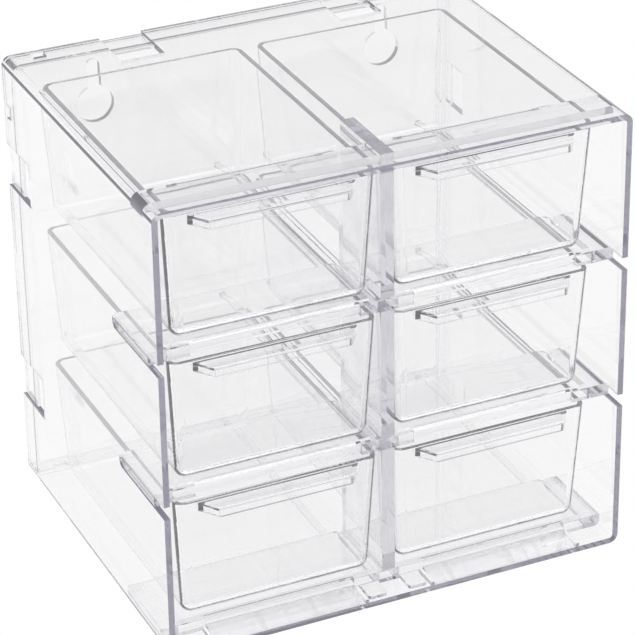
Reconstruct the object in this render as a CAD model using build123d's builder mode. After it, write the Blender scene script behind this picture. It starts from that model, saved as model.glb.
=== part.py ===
from build123d import *
import os
from math import radians, tan

# Clear moulded drawer box for make-up and jewellery, two columns by three rows of drawers.
# Millimetres. +Z is up, +X to the right seen from the front, the drawers open towards -Y.
# The origin is the middle of the casing's bounding box, on the surface it stands on.

# ---- casing: one moulded sleeve, open at the front and at the back
CASE_WIDTH = 175.0
CASE_DEPTH = 141.0
CASE_HEIGHT = 170.0
CASE_WALL = 2.2
EDGE_OUTER_R = 3.5        # the four long edges, outside
EDGE_INNER_R = 1.3        # and inside

# ---- rows and columns
ROWS = ("bottom", "middle", "top")
COLUMNS = {"left": -1, "right": 1}
RAIL_HEIGHT = 4.6         # front bar between two rows
SILL_HEIGHT = 4.8         # front bar under the bottom row, standing on the casing's floor
TOP_LIP_HEIGHT = 2.8      # lip under the casing's top, over the top row
TOP_LIP_DEPTH = 10.0
SHELF_RECESS = 9.5        # front of the bars behind the casing's front edge
SHELF_DEPTH = 31.0        # bars, ledges and post, front to back
POST_THICKNESS = 5.0      # centre post between the two columns
FIT = 0.1                 # clearance each side where one fixed piece slides into another
DRAWER_LIFT = 0.15        # floor of a drawer above the shelf it slides on

# ---- shelves
SHELF_PLATE = 1.8
BAR_DEPTH = 4.0           # full-height bar along the front of the plate
BAR_NOSE_R = 1.6          # its rounded front edges, between the flat end blocks
BAR_NOSE_SET_BACK = 0.8   # rounded stretch behind the face of the end blocks
BAR_END_INNER = 7.5       # length of the flat end block beside the post
BAR_END_OUTER = 13.0      # and beside the casing's wall
LEDGE_WIDTH = 5.5         # thick side ledge along the wall
WEB_THICKNESS = 2.5       # ribs that grip the post
TAB_INSET = 0.3           # shelf tab's end, inside the casing's outer face
RUNNER_WIDTH = 2.4        # two runners carry each drawer back to the back panel
RUNNER_HEIGHT = 1.6

# ---- sill in front of the bottom row
RAMP_TOP = 2.8            # height of the ramp above the casing's floor
RAMP_BACKING = 1.2        # thickness of the bar left behind its upper end
RAMP_START = 11.0         # ramp's end beside the post, measured from the post
RAMP_END = 15.0           # ramp's end beside the wall, measured from the wall
SILL_RIB_WIDTH = 1.2
SILL_RIB_HEIGHT = 1.4
FOOT_TAB_WIDTH = 7.0      # flat tab at each side of the post's foot
FOOT_TAB_GAP = 1.8
FOOT_TAB_LENGTH = 8.3
FOOT_TAB_HEIGHT = 1.2
FOOT_TAB_CORNER_R = 1.2

# ---- back panel: a shallow pan pushed in from behind
BACK_RECESS = 7.0         # its plate lies this far inside the casing's rear edge
BACK_PLATE = 2.2
BACK_FLANGE = 1.4
BACK_FLANGE_SHORT = 0.5   # flange ends this far inside the rear edge
BACK_CORNER_R = 1.2
KEYHOLE_SPACING = 113.2
KEYHOLE_R = 7.0
KEYHOLE_SLOT = 5.0
KEYHOLE_DROP = 22.0       # centre of the round hole, below the casing's top
KEYHOLE_RISE = 14.5       # from that centre up to the centre of the slot's round end

# ---- snaps between back panel and casing
SNAP_WIDTH = 4.0
SNAP_LENGTH = 2.6
SNAP_HEIGHT = 1.0
SNAP_CLEARANCE = 0.4
SNAP_FROM_REAR = 4.2      # middle of a snap, from the casing's rear edge
SNAP_TOP_OFFSET = 12.5    # snap in the top and bottom walls, from the side faces
SNAP_SIDE_OFFSET = 20.0   # snap in the side walls, from the top face

# ---- pockets for the clips that join two boxes
CLIP_WIDTH = 16.5
CLIP_LENGTH = 22.5        # from the rear edge to the front of the window
CLIP_WINDOW = 10.0        # window through the wall
CLIP_RECESS = 1.2         # depth of the pocket behind the window
CLIP_TOP_OFFSET = 42.5    # from the middle of the box, top and bottom walls
CLIP_SIDE_LOW = 42.2      # heights on the side walls
CLIP_SIDE_HIGH = 128.5

# ---- drawers
DRAWER_RECESS = 10.5      # face of a shut drawer behind the casing's front edge
DRAWER_BACK_GAP = 6.3     # rear rim to the back panel
DRAWER_POST_GAP = 0.5     # rim to the post
DRAWER_WALL_GAP = 6.3     # rim to the casing's wall
DRAWER_HEADROOM = 2.8     # rim to the bar above
DRAWER_WALL = 1.8
DRAWER_DRAFT = 3.0        # degrees, all four sides
DRAWER_CORNER_R = 4.0
DRAWER_FOOT_R = 4.0
DRAWER_RIM_R = 0.35
PULL_LENGTH = 60.0        # along the drawer's face
PULL_TIP_LENGTH = 50.0    # along its front edge
PULL_REACH = 7.0
PULL_HEIGHT = 3.3
PULL_SKIN = 1.4
PULL_DROP = 0.5           # top of the pull below the rim
PULL_CORNER_R = 1.2

# ---- places worked out from the sizes above
FRONT_Y = -CASE_DEPTH / 2
REAR_Y = CASE_DEPTH / 2
WALL_X = CASE_WIDTH / 2 - CASE_WALL
FLOOR_Z = CASE_WALL
CEILING_Z = CASE_HEIGHT - CASE_WALL
SHELF_FRONT_Y = FRONT_Y + SHELF_RECESS
SHELF_REAR_Y = SHELF_FRONT_Y + SHELF_DEPTH
LAP_Y = SHELF_FRONT_Y + SHELF_DEPTH / 2
BACK_REAR_Y = REAR_Y - BACK_RECESS
BACK_FRONT_Y = BACK_REAR_Y - BACK_PLATE
BAY_INNER_X = POST_THICKNESS / 2
BAY_WIDTH = WALL_X - BAY_INNER_X
USED_HEIGHT = SILL_HEIGHT + TOP_LIP_HEIGHT + RAIL_HEIGHT * (len(ROWS) - 1)
CELL_HEIGHT = (CEILING_Z - FLOOR_Z - USED_HEIGHT) / len(ROWS)
ROW_PITCH = CELL_HEIGHT + RAIL_HEIGHT
SILL_BAR = SILL_HEIGHT - FIT
SEAT_Z = {row: FLOOR_Z + SILL_HEIGHT + i * ROW_PITCH for i, row in enumerate(ROWS)}
DRAWER_WIDTH = BAY_WIDTH - DRAWER_POST_GAP - DRAWER_WALL_GAP
DRAWER_X = BAY_INNER_X + DRAWER_POST_GAP + DRAWER_WIDTH / 2
DRAWER_FRONT_Y = FRONT_Y + DRAWER_RECESS
DRAWER_LENGTH = BACK_FRONT_Y - DRAWER_BACK_GAP - DRAWER_FRONT_Y
DRAWER_Y = DRAWER_FRONT_Y + DRAWER_LENGTH / 2
DRAWER_HEIGHT = CELL_HEIGHT - DRAWER_LIFT - DRAWER_HEADROOM
SIDE_LEAN = DRAWER_HEIGHT * tan(radians(DRAWER_DRAFT))
RUNNER_X = DRAWER_WIDTH / 2 - SIDE_LEAN - DRAWER_FOOT_R - RUNNER_WIDTH / 2
RAMP_X = (BAY_INNER_X + RAMP_START, WALL_X - RAMP_END)
KEYHOLE_Z = CASE_HEIGHT - KEYHOLE_DROP
SNAP_Y = REAR_Y - SNAP_FROM_REAR

# Walls of the casing as (x, z, turn about Y): a shape drawn for the top wall is turned onto each.
SNAP_SEATS = [
    (side * (CASE_WIDTH / 2 - SNAP_TOP_OFFSET), CASE_HEIGHT, 0) for side in (-1, 1)
] + [
    (side * (CASE_WIDTH / 2 - SNAP_TOP_OFFSET), 0, 180) for side in (-1, 1)
] + [
    (side * CASE_WIDTH / 2, CASE_HEIGHT - SNAP_SIDE_OFFSET, side * 90) for side in (-1, 1)
]
CLIP_SEATS = [
    (side * CLIP_TOP_OFFSET, CASE_HEIGHT, 0) for side in (-1, 1)
] + [
    (side * CLIP_TOP_OFFSET, 0, 180) for side in (-1, 1)
] + [
    (side * CASE_WIDTH / 2, height, side * 90)
    for side in (-1, 1) for height in (CLIP_SIDE_LOW, CLIP_SIDE_HIGH)
]


def on_wall(seat, y):
    """Place on a wall's outer face, with local +Z pointing out of the box."""
    x, z, turn = seat
    return Location((x, y, z), (0, turn, 0))


os.makedirs("parts", exist_ok=True)

# ---- casing -------------------------------------------------------------------------
slot_height = RAIL_HEIGHT + 2 * FIT
slot_rear_y = SHELF_REAR_Y + FIT
slot_length = slot_rear_y - FRONT_Y

with BuildPart() as casing:
    # sleeve: walls of even thickness, long edges rounded
    with BuildSketch(Plane.XZ.offset(-REAR_Y)):
        with Locations((0, CASE_HEIGHT / 2)):
            RectangleRounded(CASE_WIDTH, CASE_HEIGHT, EDGE_OUTER_R)
            RectangleRounded(
                2 * WALL_X, CEILING_Z - FLOOR_Z, EDGE_INNER_R, mode=Mode.SUBTRACT
            )
    extrude(amount=CASE_DEPTH)
    # lip under the top, in two lengths with the post between them
    lip_length = WALL_X - BAY_INNER_X - FIT
    for side in COLUMNS.values():
        lip_x = side * (WALL_X - lip_length / 2)
        with BuildSketch(Plane.XY.offset(CEILING_Z)):
            with Locations((lip_x, SHELF_FRONT_Y + TOP_LIP_DEPTH / 2)):
                Rectangle(lip_length, TOP_LIP_DEPTH)
        extrude(amount=-TOP_LIP_HEIGHT)
    # slots for the shelf tabs, open at the front edge and round at the back
    for row in ROWS[1:]:
        with BuildSketch(Plane.YZ.offset(-CASE_WIDTH / 2)):
            with Locations((FRONT_Y, SEAT_Z[row] - RAIL_HEIGHT / 2)):
                SlotOverall(2 * slot_length, slot_height)
        extrude(amount=CASE_WIDTH, mode=Mode.SUBTRACT)
    # pockets and windows for the joining clips
    for seat in CLIP_SEATS:
        with Locations(on_wall(seat, REAR_Y - CLIP_LENGTH / 2)):
            Box(CLIP_WIDTH, CLIP_LENGTH, 2 * CLIP_RECESS, mode=Mode.SUBTRACT)
        with Locations(on_wall(seat, REAR_Y - CLIP_LENGTH + CLIP_WINDOW / 2)):
            Box(CLIP_WIDTH, CLIP_WINDOW, 4 * CASE_WALL, mode=Mode.SUBTRACT)
    # windows for the back panel's snaps
    for seat in SNAP_SEATS:
        with Locations(on_wall(seat, SNAP_Y)):
            Box(
                SNAP_WIDTH + 2 * SNAP_CLEARANCE,
                SNAP_LENGTH + 2 * SNAP_CLEARANCE,
                4 * CASE_WALL,
                mode=Mode.SUBTRACT,
            )
    # ribs on the floor at the ends of the sill's ramps
    for side in COLUMNS.values():
        for rib_x in (RAMP_X[0] - SILL_RIB_WIDTH / 2 - FIT, RAMP_X[1] + SILL_RIB_WIDTH / 2 + FIT):
            with BuildSketch(Plane.XY.offset(FLOOR_Z)):
                with Locations((side * rib_x, (FRONT_Y + SHELF_FRONT_Y - FIT) / 2)):
                    Rectangle(SILL_RIB_WIDTH, SHELF_RECESS - FIT)
            extrude(amount=SILL_RIB_HEIGHT)
casing.part.label = "casing"
export_step(casing.part, "parts/casing.step")

# ---- back panel ---------------------------------------------------------------------
pan_width = 2 * (WALL_X - FIT)
pan_height = CEILING_Z - FLOOR_Z - 2 * FIT
flange_length = BACK_RECESS - BACK_FLANGE_SHORT

with BuildPart() as back_panel:
    with BuildSketch(Plane.XZ.offset(-BACK_REAR_Y)):
        with Locations((0, CASE_HEIGHT / 2)):
            RectangleRounded(pan_width, pan_height, BACK_CORNER_R)
    extrude(amount=BACK_PLATE)
    # flange that lines the casing's walls behind the plate
    with BuildSketch(Plane.XZ.offset(-BACK_REAR_Y)):
        with Locations((0, CASE_HEIGHT / 2)):
            RectangleRounded(pan_width, pan_height, BACK_CORNER_R)
            Rectangle(pan_width - 2 * BACK_FLANGE, pan_height - 2 * BACK_FLANGE, mode=Mode.SUBTRACT)
    extrude(amount=-flange_length)
    # wedge snaps that catch in the casing's windows
    for seat in SNAP_SEATS:
        catch = Plane(on_wall(seat, SNAP_Y)).offset(-CASE_WALL - FIT)
        with BuildSketch(Plane(catch.origin, x_dir=(0, 1, 0), z_dir=catch.x_dir)) as wedge:
            with BuildLine():
                Polyline(
                    (-SNAP_LENGTH / 2, -FIT),
                    (SNAP_LENGTH / 2, -FIT),
                    (SNAP_LENGTH / 2, SNAP_HEIGHT),
                    close=True,
                )
            make_face()
        extrude(amount=SNAP_WIDTH / 2, both=True)
    # keyholes to hang the box on two screws
    for side in COLUMNS.values():
        with BuildSketch(Plane.XZ.offset(-BACK_REAR_Y)):
            with Locations((side * KEYHOLE_SPACING / 2, KEYHOLE_Z)):
                Circle(KEYHOLE_R)
            with Locations((side * KEYHOLE_SPACING / 2, KEYHOLE_Z + KEYHOLE_RISE / 2)):
                SlotCenterToCenter(KEYHOLE_RISE, KEYHOLE_SLOT, rotation=90)
        extrude(amount=BACK_PLATE, mode=Mode.SUBTRACT)
back_panel.part.label = "back_panel"
export_step(back_panel.part, "parts/back_panel.step")

# ---- centre post --------------------------------------------------------------------
with BuildPart() as centre_post:
    with BuildSketch(Plane.YZ.offset(-POST_THICKNESS / 2)):
        with Locations(((SHELF_FRONT_Y + SHELF_REAR_Y) / 2, CASE_HEIGHT / 2)):
            Rectangle(SHELF_DEPTH, CEILING_Z - FLOOR_Z - 2 * FIT)
        # halved joints: each shelf's front bar passes through the post's front half
        for row in ROWS:
            bar = SILL_HEIGHT if row == ROWS[0] else RAIL_HEIGHT
            with Locations(((SHELF_FRONT_Y + LAP_Y) / 2, SEAT_Z[row] - bar / 2)):
                Rectangle(SHELF_DEPTH / 2, bar + 2 * FIT, mode=Mode.SUBTRACT)
    extrude(amount=POST_THICKNESS)
centre_post.part.label = "centre_post"
export_step(centre_post.part, "parts/centre_post.step")


# ---- shelves ------------------------------------------------------------------------
def shelf_outline(bar):
    """Full-height bar, ledges and post webs of one shelf, below its seat at local z = 0."""
    ledge_x = WALL_X - FIT - LEDGE_WIDTH / 2
    web_x = BAY_INNER_X + FIT + WEB_THICKNESS / 2
    with BuildPart() as shelf:
        # plate under the drawers' front ends, slotted for the post from behind
        with BuildSketch():
            with Locations((0, (SHELF_FRONT_Y + SHELF_REAR_Y) / 2)):
                Rectangle(2 * (WALL_X - FIT), SHELF_DEPTH)
            with Locations((0, (LAP_Y - FIT + SHELF_REAR_Y) / 2)):
                Rectangle(POST_THICKNESS + 2 * FIT, SHELF_REAR_Y - LAP_Y + FIT, mode=Mode.SUBTRACT)
        extrude(amount=-SHELF_PLATE)
        # bar along the front, with ledges at the walls and webs beside the post
        with BuildSketch():
            with Locations((0, SHELF_FRONT_Y + BAR_DEPTH / 2)):
                Rectangle(2 * (WALL_X - FIT), BAR_DEPTH)
            for side in COLUMNS.values():
                with Locations((side * ledge_x, (SHELF_FRONT_Y + SHELF_REAR_Y) / 2)):
                    Rectangle(LEDGE_WIDTH, SHELF_DEPTH)
                with Locations((side * web_x, (SHELF_FRONT_Y + SHELF_REAR_Y) / 2)):
                    Rectangle(WEB_THICKNESS, SHELF_DEPTH)
        extrude(amount=-bar)
        # runners back to the back panel, one under each side of a drawer's flat floor
        runner_length = BACK_FRONT_Y - FIT - SHELF_REAR_Y
        with BuildSketch():
            for side in COLUMNS.values():
                for edge in (-1, 1):
                    with Locations((side * DRAWER_X + edge * RUNNER_X, SHELF_REAR_Y + runner_length / 2)):
                        Rectangle(RUNNER_WIDTH, runner_length)
        extrude(amount=-RUNNER_HEIGHT)
    return shelf.part


def wall_shelf():
    """Shelf of an upper row: tabs in the casing's slots and a rounded bar between the rows."""
    body = shelf_outline(RAIL_HEIGHT)
    tab_end = CASE_WIDTH / 2 - TAB_INSET
    with BuildPart() as shelf:
        add(body)
        # tabs that fill the slots in the side walls
        for side in COLUMNS.values():
            with BuildSketch(Plane.YZ.offset(side * (WALL_X - LEDGE_WIDTH / 2))):
                with Locations((SHELF_FRONT_Y, -RAIL_HEIGHT / 2)):
                    SlotOverall(2 * SHELF_DEPTH, RAIL_HEIGHT)
                with Locations((SHELF_FRONT_Y - SHELF_DEPTH / 2, -RAIL_HEIGHT / 2)):
                    Rectangle(SHELF_DEPTH, RAIL_HEIGHT, mode=Mode.SUBTRACT)
            extrude(amount=side * (tab_end - WALL_X + LEDGE_WIDTH / 2))
        # rounded stretch of the bar between its end blocks
        nose_start = BAY_INNER_X + BAR_END_INNER
        nose_length = WALL_X - BAR_END_OUTER - nose_start
        nose_y = SHELF_FRONT_Y + BAR_NOSE_SET_BACK
        for side in COLUMNS.values():
            nose_x = side * (nose_start + nose_length / 2)
            with BuildSketch(Plane.YZ.offset(nose_x)):
                with Locations((nose_y, -RAIL_HEIGHT / 2)):
                    Rectangle(2 * BAR_NOSE_SET_BACK + 2 * BAR_NOSE_R, RAIL_HEIGHT)
                with Locations((nose_y + BAR_DEPTH / 2, -RAIL_HEIGHT / 2)):
                    RectangleRounded(BAR_DEPTH, RAIL_HEIGHT, BAR_NOSE_R, mode=Mode.SUBTRACT)
                with Locations((nose_y + BAR_DEPTH / 2 + BAR_NOSE_R, -RAIL_HEIGHT / 2)):
                    Rectangle(BAR_DEPTH, RAIL_HEIGHT, mode=Mode.SUBTRACT)
            extrude(amount=nose_length / 2, both=True, mode=Mode.SUBTRACT)
    return shelf.part


def sill_shelf():
    """Shelf of the bottom row: it stands on the casing's floor and slopes down to the front."""
    body = shelf_outline(SILL_BAR)
    ramp_length = RAMP_X[1] - RAMP_X[0]
    ramp_base_z = -SILL_BAR
    ramp_rear_y = SHELF_FRONT_Y + BAR_DEPTH - RAMP_BACKING
    with BuildPart() as shelf:
        add(body)
        # lower side edges cleared from the rounding inside the casing's corners
        side_edges = shelf.edges().filter_by(Axis.Y).filter_by_position(
            Axis.Z, ramp_base_z, ramp_base_z
        )
        chamfer([side_edges.sort_by(Axis.X)[0], side_edges.sort_by(Axis.X)[-1]], EDGE_INNER_R)
        for side in COLUMNS.values():
            ramp_x = side * (RAMP_X[0] + RAMP_X[1]) / 2
            # scoop out of the bar, then the ramp in front of it
            with BuildSketch(Plane.YZ.offset(ramp_x)):
                with BuildLine():
                    Polyline(
                        (SHELF_FRONT_Y, 0),
                        ((SHELF_FRONT_Y + ramp_rear_y) / 2, 0),
                        (ramp_rear_y, ramp_base_z + RAMP_TOP),
                        (SHELF_FRONT_Y, ramp_base_z + RAMP_TOP),
                        close=True,
                    )
                make_face()
            extrude(amount=ramp_length / 2, both=True, mode=Mode.SUBTRACT)
            with BuildSketch(Plane.YZ.offset(ramp_x)):
                with BuildLine():
                    Polyline(
                        (FRONT_Y + FIT, ramp_base_z),
                        (ramp_rear_y, ramp_base_z),
                        (ramp_rear_y, ramp_base_z + RAMP_TOP),
                        (FRONT_Y + FIT, ramp_base_z + 2 * FIT),
                        close=True,
                    )
                make_face()
            extrude(amount=ramp_length / 2, both=True)
            # tab at the foot of the post, its front corners rounded, its rear end in the bar
            foot_x = side * (BAY_INNER_X + FOOT_TAB_GAP + FOOT_TAB_WIDTH / 2)
            foot_length = FOOT_TAB_LENGTH + BAR_DEPTH / 2
            with BuildSketch(Plane.XY.offset(ramp_base_z)):
                with Locations((foot_x, SHELF_FRONT_Y - FOOT_TAB_LENGTH + foot_length / 2)):
                    RectangleRounded(FOOT_TAB_WIDTH, foot_length, FOOT_TAB_CORNER_R)
            extrude(amount=FOOT_TAB_HEIGHT)
    return shelf.part


for row in ROWS:
    shelf_shape = sill_shelf() if row == ROWS[0] else wall_shelf()
    shelf = shelf_shape.moved(Location((0, 0, SEAT_Z[row])))
    shelf.label = f"shelf_{row}"
    export_step(shelf, f"parts/{shelf.label}.step")


# ---- drawers ------------------------------------------------------------------------
def tapered_block(width, length, height, corner_r, foot_r):
    """Block whose top is width by length, its sides leaning in and its foot rounded."""
    lean = height * tan(radians(DRAWER_DRAFT))
    with BuildPart() as block:
        with BuildSketch():
            Rectangle(width - 2 * lean, length - 2 * lean)
        extrude(amount=height, taper=-DRAWER_DRAFT)
        fillet(block.edges().group_by(Axis.Z)[1], corner_r)
        fillet(block.edges().group_by(Axis.Z)[0], foot_r)
    return block.part


def make_drawer():
    """One tray with its pull; local origin under its middle, its face towards -Y."""
    outer = tapered_block(
        DRAWER_WIDTH, DRAWER_LENGTH, DRAWER_HEIGHT, DRAWER_CORNER_R, DRAWER_FOOT_R
    )
    hollow = tapered_block(
        DRAWER_WIDTH - 2 * DRAWER_WALL,
        DRAWER_LENGTH - 2 * DRAWER_WALL,
        DRAWER_HEIGHT - DRAWER_WALL,
        DRAWER_CORNER_R - DRAWER_WALL,
        DRAWER_FOOT_R - DRAWER_WALL,
    )
    face_y = -DRAWER_LENGTH / 2
    pull_top = DRAWER_HEIGHT - PULL_DROP
    with BuildPart() as drawer:
        add(outer)
        # pull: a shallow hood, straight along the front and slanted at both ends
        with BuildSketch(Plane.XY.offset(pull_top - PULL_HEIGHT)) as hood:
            with BuildLine():
                Polyline(
                    (-PULL_LENGTH / 2, face_y + DRAWER_WALL),
                    (-PULL_LENGTH / 2, face_y),
                    (-PULL_TIP_LENGTH / 2, face_y - PULL_REACH),
                    (PULL_TIP_LENGTH / 2, face_y - PULL_REACH),
                    (PULL_LENGTH / 2, face_y),
                    (PULL_LENGTH / 2, face_y + DRAWER_WALL),
                    close=True,
                )
            make_face()
            fillet(hood.vertices().group_by(Axis.Y)[0], PULL_CORNER_R)
        extrude(amount=PULL_HEIGHT)
        # hollow underneath for the fingertips
        slant = (PULL_LENGTH - PULL_TIP_LENGTH) / 2 / PULL_REACH
        with BuildSketch(Plane.XY.offset(pull_top - PULL_HEIGHT)):
            with BuildLine():
                inner_tip = PULL_TIP_LENGTH / 2 - PULL_SKIN / 2
                inner_y = face_y - PULL_REACH + PULL_SKIN
                inner_root = inner_tip + slant * (PULL_REACH - PULL_SKIN) - PULL_SKIN / 2
                Polyline(
                    (-inner_root, face_y),
                    (-inner_tip, inner_y),
                    (inner_tip, inner_y),
                    (inner_root, face_y),
                    close=True,
                )
            make_face()
        extrude(amount=PULL_HEIGHT - PULL_SKIN, mode=Mode.SUBTRACT)
        # inside of the tray
        add(hollow.moved(Location((0, 0, DRAWER_WALL))), mode=Mode.SUBTRACT)
        rim = drawer.faces().sort_by(Axis.Z)[-1]
        fillet(rim.edges(), DRAWER_RIM_R)
    return drawer.part


drawer_shape = make_drawer()
for row in ROWS:
    for column, side in COLUMNS.items():
        place = Location((side * DRAWER_X, DRAWER_Y, SEAT_Z[row] + DRAWER_LIFT))
        drawer = drawer_shape.moved(place)
        drawer.label = f"drawer_{row}_{column}"
        export_step(drawer, f"parts/{drawer.label}.step")
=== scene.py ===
from math import cos, radians, sin

import bpy
from mathutils import Matrix, Vector

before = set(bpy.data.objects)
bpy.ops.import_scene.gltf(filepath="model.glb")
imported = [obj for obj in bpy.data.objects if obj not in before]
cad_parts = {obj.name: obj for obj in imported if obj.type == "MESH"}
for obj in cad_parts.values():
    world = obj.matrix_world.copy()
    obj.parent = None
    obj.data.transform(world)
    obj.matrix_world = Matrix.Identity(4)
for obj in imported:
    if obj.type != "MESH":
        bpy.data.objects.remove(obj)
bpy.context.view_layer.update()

MM = 0.001


# ---- helpers ------------------------------------------------------------------------
def srgb(code):
    """sRGB hex colour as the linear RGBA that shaders take."""
    channels = [int(code[i:i + 2], 16) / 255 for i in (0, 2, 4)]
    linear = [c / 12.92 if c <= 0.04045 else ((c + 0.055) / 1.055) ** 2.4 for c in channels]
    return (*linear, 1.0)


def add_node(tree, kind, settings=None, links=None, **values):
    """Adds a node: settings are its properties, values its inputs, links its fed inputs."""
    node = tree.nodes.new(kind)
    for name, value in (settings or {}).items():
        setattr(node, name, value)
    for name, value in values.items():
        node.inputs[name.replace("_", " ")].default_value = value
    for name, output in (links or {}).items():
        tree.links.new(output, node.inputs[name])
    return node


# sockets of a colour mix, which shares its node with other kinds of mix
MIX_FACTOR = 0
MIX_FIRST = 6
MIX_SECOND = 7
MIX_RESULT = 2


def lay_over(tree, factor, colour, code):
    """Lays the sRGB colour code over a colour output where the factor is 1."""
    mix = add_node(
        tree, "ShaderNodeMix", settings={"data_type": "RGBA"},
        links={MIX_FACTOR: factor, MIX_FIRST: colour},
    )
    mix.inputs[MIX_SECOND].default_value = srgb(code)
    return mix.outputs[MIX_RESULT]


# ---- camera: the photograph's viewing angle -------------------------------------------
CAMERA_PLACE = Vector((-0.39888, -0.88646, 0.59845))
CAMERA_TURN = radians(24.31)      # to the right of straight back
CAMERA_TILT = radians(28.13)      # looking down
CAMERA_ROLL = radians(-0.935)
CAMERA_LENS = 174.28              # mm
SENSOR_WIDTH = 36                 # mm
CLIP_NEAR = 0.01
CLIP_FAR = 50


def add_camera():
    forward = Vector((
        sin(CAMERA_TURN) * cos(CAMERA_TILT),
        cos(CAMERA_TURN) * cos(CAMERA_TILT),
        -sin(CAMERA_TILT),
    ))
    level_right = forward.cross(Vector((0, 0, 1))).normalized()
    level_up = level_right.cross(forward)
    right = cos(CAMERA_ROLL) * level_right + sin(CAMERA_ROLL) * level_up
    up = cos(CAMERA_ROLL) * level_up - sin(CAMERA_ROLL) * level_right
    data = bpy.data.cameras.new("camera")
    data.lens = CAMERA_LENS
    data.sensor_width = SENSOR_WIDTH
    data.clip_start = CLIP_NEAR
    data.clip_end = CLIP_FAR
    camera = bpy.data.objects.new("camera", data)
    turn = Matrix((right, up, -forward)).transposed()
    camera.matrix_world = Matrix.Translation(CAMERA_PLACE) @ turn.to_4x4()
    bpy.context.scene.collection.objects.link(camera)
    bpy.context.scene.camera = camera


# ---- materials ------------------------------------------------------------------------
REFRACTIVE_INDEX = 1.59     # of polystyrene
WAVE_LENGTH = 25 * MM       # a moulded wall's slow waviness, from crest to crest
WAVE_DEPTH = 0.02 * MM
HAZE_PATCH = 9 * MM         # patches of handling haze
HAZE_ROUGHNESS = 0.02       # where the haze is strongest


def clear_polystyrene(name, tint, absorption, glow):
    """Crystal-clear polystyrene, injection moulded against a polished tool.

    It shows as glass-like walls with hard highlights. Looking along a wall's length the
    faint violet-grey of the plastic adds up, so moulded edges look darker than panels.
    """
    material = bpy.data.materials.new(name)
    material.use_nodes = True
    tree = material.node_tree
    tree.nodes.clear()
    place = add_node(tree, "ShaderNodeTexCoord").outputs["Object"]
    flow = add_node(
        tree, "ShaderNodeTexNoise", links={"Vector": place},
        Scale=1 / WAVE_LENGTH, Detail=2.0, Roughness=0.45,
    )
    haze = add_node(
        tree, "ShaderNodeTexNoise", links={"Vector": place},
        Scale=1 / HAZE_PATCH, Detail=4.0, Roughness=0.6,
    )
    gloss = add_node(
        tree, "ShaderNodeMapRange", links={"Value": haze.outputs["Fac"]},
        From_Min=0.35, From_Max=0.75, To_Min=0.0, To_Max=HAZE_ROUGHNESS,
    )
    ripple = add_node(
        tree, "ShaderNodeBump", links={"Height": flow.outputs["Fac"]},
        Strength=1.0, Distance=WAVE_DEPTH,
    )
    plastic = add_node(
        tree, "ShaderNodeBsdfPrincipled",
        links={"Roughness": gloss.outputs["Result"], "Normal": ripple.outputs["Normal"]},
        Base_Color=(1, 1, 1, 1), IOR=REFRACTIVE_INDEX, Transmission_Weight=1.0,
    )
    body = add_node(
        tree, "ShaderNodeVolumeAbsorption", Color=srgb(tint), Density=absorption,
    )
    # painted glow: the plastic gives off a soft violet-grey light of its own, standing in for
    # light trapped inside a wall by total reflection and scattered a little by the plastic;
    # over a long way it tends to the glow's colour
    lost = [1 - channel for channel in srgb(tint)[:3]]
    painted_glow_colour = [share * channel for share, channel in zip(lost, srgb(glow))]
    painted_glow = add_node(
        tree, "ShaderNodeEmission", Color=(*painted_glow_colour, 1), Strength=absorption,
    )
    inside = add_node(
        tree, "ShaderNodeAddShader",
        links={0: body.outputs["Volume"], 1: painted_glow.outputs["Emission"]},
    )
    add_node(
        tree, "ShaderNodeOutputMaterial",
        links={"Surface": plastic.outputs["BSDF"], "Volume": inside.outputs["Shader"]},
    )
    return material


def light_table():
    """Opal light table: evenly lit from below, so the clear box stands on pure white."""
    material = bpy.data.materials.new("opal_light_table")
    material.use_nodes = True
    tree = material.node_tree
    tree.nodes.clear()
    lamp = add_node(tree, "ShaderNodeEmission", Color=srgb("FFFFFF"), Strength=1.0)
    add_node(tree, "ShaderNodeOutputMaterial", links={"Surface": lamp.outputs["Emission"]})
    return material


# ---- floor and light ------------------------------------------------------------------
FLOOR_HALF = 6.0
FLOOR_DROP = 0.3 * MM       # floor just under the casing


def add_floor():
    mesh = bpy.data.meshes.new("floor")
    corners = [
        (x * FLOOR_HALF, y * FLOOR_HALF, -FLOOR_DROP)
        for x, y in ((-1, -1), (1, -1), (1, 1), (-1, 1))
    ]
    mesh.from_pydata(corners, [], [(0, 1, 2, 3)])
    floor = bpy.data.objects.new("floor", mesh)
    floor.data.materials.append(light_table())
    bpy.context.scene.collection.objects.link(floor)


# the light tent's tone by height: (sine of the elevation, sRGB colour)
TENT_TONES = ((0.0, "FFFFFF"), (0.25, "E8E8E8"), (0.55, "E0E0E0"), (0.85, "FFFFFF"))
OPENING_TOWARDS = (-0.36, -0.80, 0.47)   # the tent's opening, where the photographer stands
OPENING_TONE = "5C5A68"
OPENING_EDGE = 0.45                      # cosine from its middle where the opening starts
OPENING_FULL = 0.75                      # cosine where it is fully dark
CARD_TONE = "6A6876"                     # grey cards left and right of the object
CARD_START = 0.72                        # sine from straight ahead where a card begins
CARD_SIDE_FADE = 0.1
CARD_TOP = 0.45                          # sine of the elevation of a card's upper edge
CARD_TOP_FADE = 0.08


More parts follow.
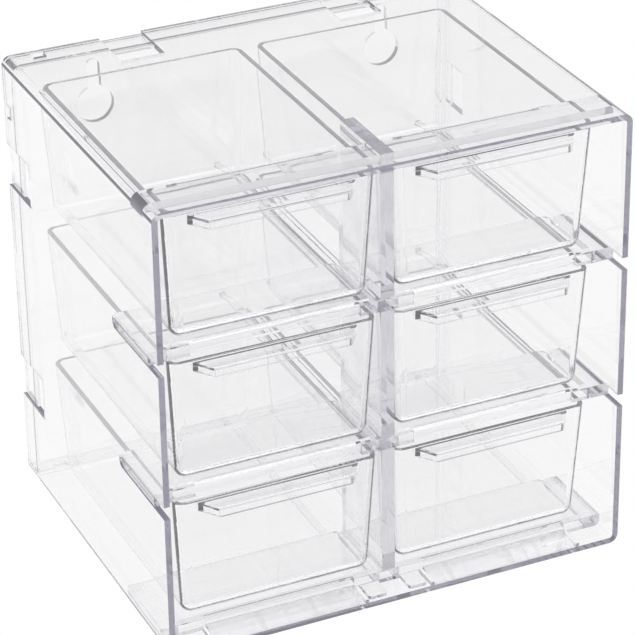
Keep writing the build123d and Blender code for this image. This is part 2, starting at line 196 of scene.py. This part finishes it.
def add_world():
    """White light tent, a dark opening in front and grey cards at the sides.

    Clear plastic shows its outline only by what its edges bend into view: the opening and
    the cards give the edges their violet-grey, and the tent keeps the panels pale.
    """
    world = bpy.data.worlds.new("studio")
    bpy.context.scene.world = world
    world.use_nodes = True
    tree = world.node_tree
    tree.nodes.clear()
    direction = add_node(tree, "ShaderNodeTexCoord").outputs["Generated"]
    parts = add_node(tree, "ShaderNodeSeparateXYZ", links={"Vector": direction})
    tent = add_node(tree, "ShaderNodeValToRGB", links={"Fac": parts.outputs["Z"]})
    stops = tent.color_ramp.elements
    while len(stops) < len(TENT_TONES):
        stops.new(1.0)
    for stop, (height, code) in zip(stops, TENT_TONES):
        stop.position = height
        stop.color = srgb(code)
    towards = add_node(
        tree, "ShaderNodeVectorMath", settings={"operation": "DOT_PRODUCT"},
        links={0: direction},
    )
    towards.inputs[1].default_value = OPENING_TOWARDS
    opening = add_node(
        tree, "ShaderNodeMapRange", links={"Value": towards.outputs["Value"]},
        From_Min=OPENING_EDGE, From_Max=OPENING_FULL, To_Min=0.0, To_Max=1.0,
    )
    # a card covers the directions far enough to a side and low enough
    sideways = add_node(
        tree, "ShaderNodeMath", settings={"operation": "ABSOLUTE"},
        links={0: parts.outputs["X"]},
    )
    across = add_node(
        tree, "ShaderNodeMapRange", links={"Value": sideways.outputs[0]},
        From_Min=CARD_START, From_Max=CARD_START + CARD_SIDE_FADE, To_Min=0.0, To_Max=1.0,
    )
    below = add_node(
        tree, "ShaderNodeMapRange", links={"Value": parts.outputs["Z"]},
        From_Min=CARD_TOP, From_Max=CARD_TOP + CARD_TOP_FADE, To_Min=1.0, To_Max=0.0,
    )
    card = add_node(
        tree, "ShaderNodeMath", settings={"operation": "MULTIPLY"},
        links={0: across.outputs["Result"], 1: below.outputs["Result"]},
    )
    tent_opened = lay_over(tree, opening.outputs["Result"], tent.outputs["Color"], OPENING_TONE)
    with_cards = lay_over(tree, card.outputs[0], tent_opened, CARD_TONE)
    sky = add_node(tree, "ShaderNodeBackground", links={"Color": with_cards}, Strength=1.0)
    add_node(tree, "ShaderNodeOutputWorld", links={"Surface": sky.outputs["Background"]})


SOFTBOX_PLACE = Vector((0.0, 0.1, 1.3))
SOFTBOX_AIM = Vector((0, 0, 0.1))
SOFTBOX_WIDTH = 1.6
SOFTBOX_DEPTH = 1.2
SOFTBOX_POWER = 9           # watts


def add_softbox():
    """Large soft light overhead."""
    data = bpy.data.lights.new("top_softbox", "AREA")
    data.shape = "RECTANGLE"
    data.size = SOFTBOX_WIDTH
    data.size_y = SOFTBOX_DEPTH
    data.energy = SOFTBOX_POWER
    light = bpy.data.objects.new("top_softbox", data)
    light.location = SOFTBOX_PLACE
    light.rotation_euler = (SOFTBOX_AIM - SOFTBOX_PLACE).to_track_quat("-Z", "Y").to_euler()
    bpy.context.scene.collection.objects.link(light)


# ---- the scene ------------------------------------------------------------------------
CLEAR_BOUNCES = 48          # two for each clear wall that a ray crosses
GLOSSY_BOUNCES = 24

add_camera()
add_world()
add_floor()
add_softbox()

scene = bpy.context.scene
scene.view_settings.view_transform = "Standard"
scene.cycles.max_bounces = CLEAR_BOUNCES
scene.cycles.transmission_bounces = CLEAR_BOUNCES
scene.cycles.transparent_max_bounces = CLEAR_BOUNCES
scene.cycles.glossy_bounces = GLOSSY_BOUNCES

# the casing is the greyer of the two; the density counts per metre of plastic; the last colour
# is the painted glow
casing_plastic = clear_polystyrene("clear_polystyrene_casing", "B2B1BA", 23.0, "807E8B")
drawer_plastic = clear_polystyrene("clear_polystyrene_drawer", "C0BFC7", 17.0, "96949F")

for name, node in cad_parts.items():
    plastic = drawer_plastic if name.startswith("drawer") else casing_plastic
    node.data.materials.clear()
    node.data.materials.append(plastic)
